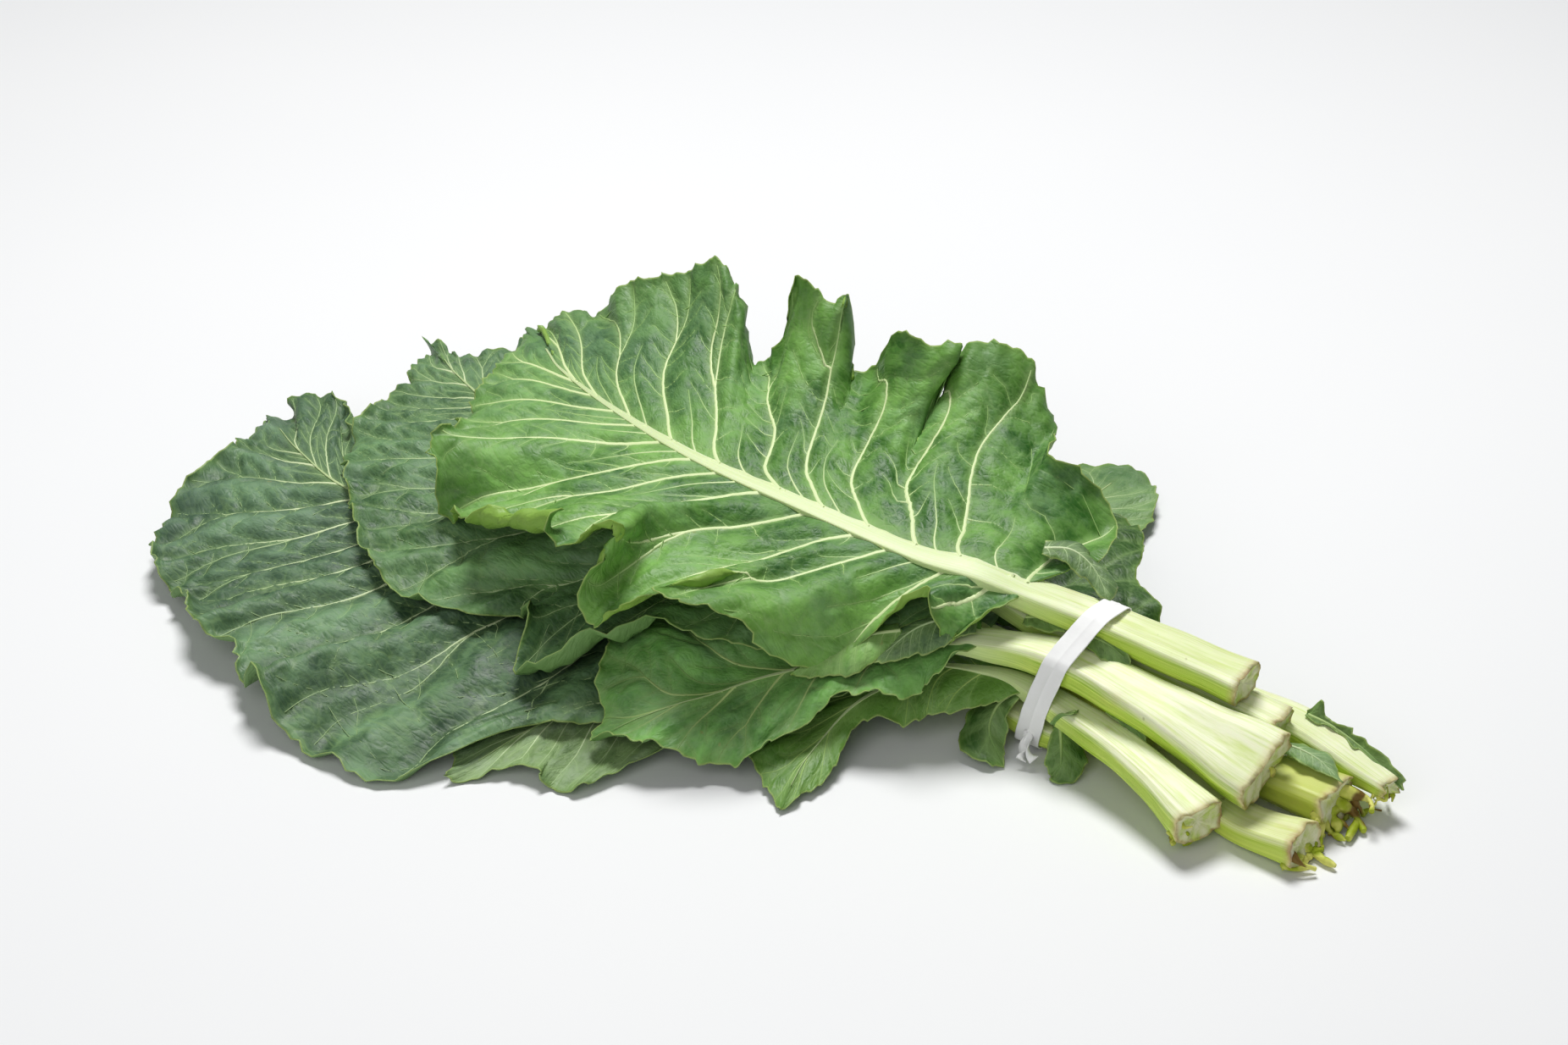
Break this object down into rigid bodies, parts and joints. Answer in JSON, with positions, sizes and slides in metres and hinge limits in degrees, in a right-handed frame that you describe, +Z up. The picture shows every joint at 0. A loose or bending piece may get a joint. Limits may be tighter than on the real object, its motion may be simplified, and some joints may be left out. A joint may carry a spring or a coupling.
{
  "type": "collard greens bunch",
  "caption": "Bunch of loose collard leaves lying on its side, pale stalks held by a twist tie, blades fanned out in a ruffled stack.",
  "frame": {"origin": "on the ground under the middle of the bunch's bounding box", "axes": "+Z up, +X from the leaf tips towards the cut stalk ends, so -Y is the near side of the leaf fan"},
  "size_m": [0.4728, 0.3344, 0.1071],
  "materials": {
    "blade_fresh_green": "satin",
    "blade_grey_green": "satin",
    "blade_dark_green": "satin",
    "blade_yellow_green": "satin",
    "stalk_pale_green": "satin",
    "tie_ribbon": "matte"
  },
  "bodies": {
    "root": {"leaf_base_left": "blade_grey_green", "leaf_base_near": "blade_grey_green", "leaf_base_far": "blade_grey_green", "leaf_low_near": "blade_yellow_green", "leaf_back": "blade_dark_green", "leaf_left": "blade_grey_green", "leaf_middle_near": "blade_dark_green", "leaf_second": "blade_grey_green", "leaf_top": "blade_fresh_green", "twist_tie": "tie_ribbon"}
  },
  "joints": []
}
